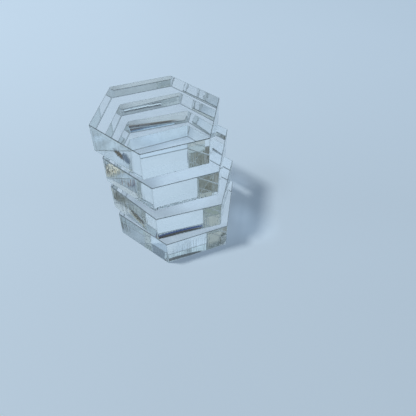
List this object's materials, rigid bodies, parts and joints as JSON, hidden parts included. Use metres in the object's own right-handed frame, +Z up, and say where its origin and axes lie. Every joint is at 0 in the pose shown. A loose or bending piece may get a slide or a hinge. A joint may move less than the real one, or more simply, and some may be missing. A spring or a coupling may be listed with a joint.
{
  "type": "hexagonal tile stack",
  "caption": "Free-standing stepped stack of thick clear acrylic hexagonal game tiles, each set back on the one below and free to lift off.",
  "frame": {"origin": "centre of the bottom tile's underside, on the table", "axes": "+Z up through the stack; the bottom tile's corners lie on +X and -X; -Y is the front, which a flat side of the bottom tile faces, and the upper tiles step back towards +Y"},
  "size_m": [0.0365, 0.0387, 0.0323],
  "materials": {
    "clear_acrylic": "clear cast acrylic, polished faces, laser-cut edges with fine vertical striations"
  },
  "bodies": {
    "bottom": {"tile_bottom": "clear_acrylic"},
    "second": {"tile_second": "clear_acrylic"},
    "third": {"tile_third": "clear_acrylic"},
    "top": {"tile_top": "clear_acrylic"}
  },
  "joints": [
    {"name": "second_lift", "type": "slide", "parent": "bottom", "child": "second", "axis": [0, 0, 1], "range_m": [0, 0.006]},
    {"name": "third_lift", "type": "slide", "parent": "second", "child": "third", "axis": [0, 0, 1], "range_m": [0, 0.006]},
    {"name": "top_lift", "type": "slide", "parent": "third", "child": "top", "axis": [0, 0, 1], "range_m": [0, 0.006]}
  ]
}
